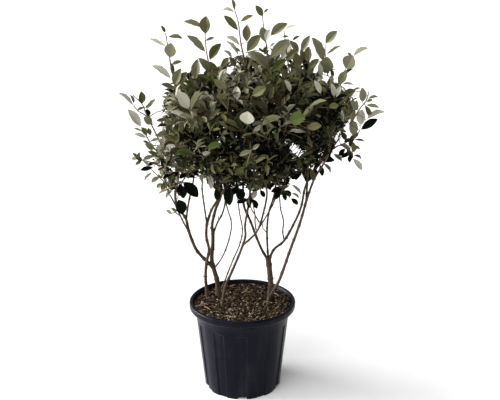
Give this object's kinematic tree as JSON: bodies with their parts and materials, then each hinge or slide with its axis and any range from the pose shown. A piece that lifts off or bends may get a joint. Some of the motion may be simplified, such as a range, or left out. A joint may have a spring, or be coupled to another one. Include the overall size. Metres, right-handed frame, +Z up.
{
  "type": "potted elaeagnus shrub",
  "caption": "Evergreen elaeagnus shrub with silver-backed leaves, grown on several bare stems in a round tapered nursery pot. It stands on the pot's flat underside.",
  "frame": {"origin": "middle of the pot's underside, at the level that the pot stands on", "axes": "+Z up along the pot's axis, -Y towards the side seen in the picture, +X to that side's right"},
  "size_m": [0.8147, 0.789, 1.3122],
  "materials": {
    "pot_plastic": "satin black polypropylene",
    "potting_soil": "loose bark and peat",
    "bark": "smooth young bark",
    "leaf": "leathery dark green above, silvery below"
  },
  "bodies": {
    "root": {"pot": "pot_plastic", "soil": "potting_soil", "stem_left": "bark", "stem_left_thick": "bark", "stem_middle": "bark", "stem_slender": "bark", "stem_right_thick": "bark", "stem_right": "bark", "bough_upper_front": "bark", "bough_front_left": "bark", "bough_upper_left": "bark", "bough_core_left": "bark", "bough_left": "bark", "bough_left_back": "bark", "bough_left_front": "bark", "bough_upper_back_left": "bark", "bough_upper_front_right": "bark", "bough_front": "bark", "bough_core_right": "bark", "bough_top": "bark", "bough_upper_back_right": "bark", "bough_right": "bark", "bough_right_back": "bark", "bough_right_front": "bark", "bough_upper_right": "bark", "foliage_front_left": "leaf", "foliage_front": "leaf", "foliage_right_front": "leaf", "foliage_right": "leaf", "foliage_right_back": "leaf", "foliage_back": "leaf", "foliage_left_back": "leaf", "foliage_left": "leaf", "foliage_left_front": "leaf", "foliage_core_left": "leaf", "foliage_core_right": "leaf", "foliage_upper_front": "leaf", "foliage_upper_front_right": "leaf", "foliage_upper_left": "leaf", "foliage_upper_back_left": "leaf", "foliage_upper_back_right": "leaf", "foliage_upper_right": "leaf", "foliage_top": "leaf"}
  },
  "joints": []
}
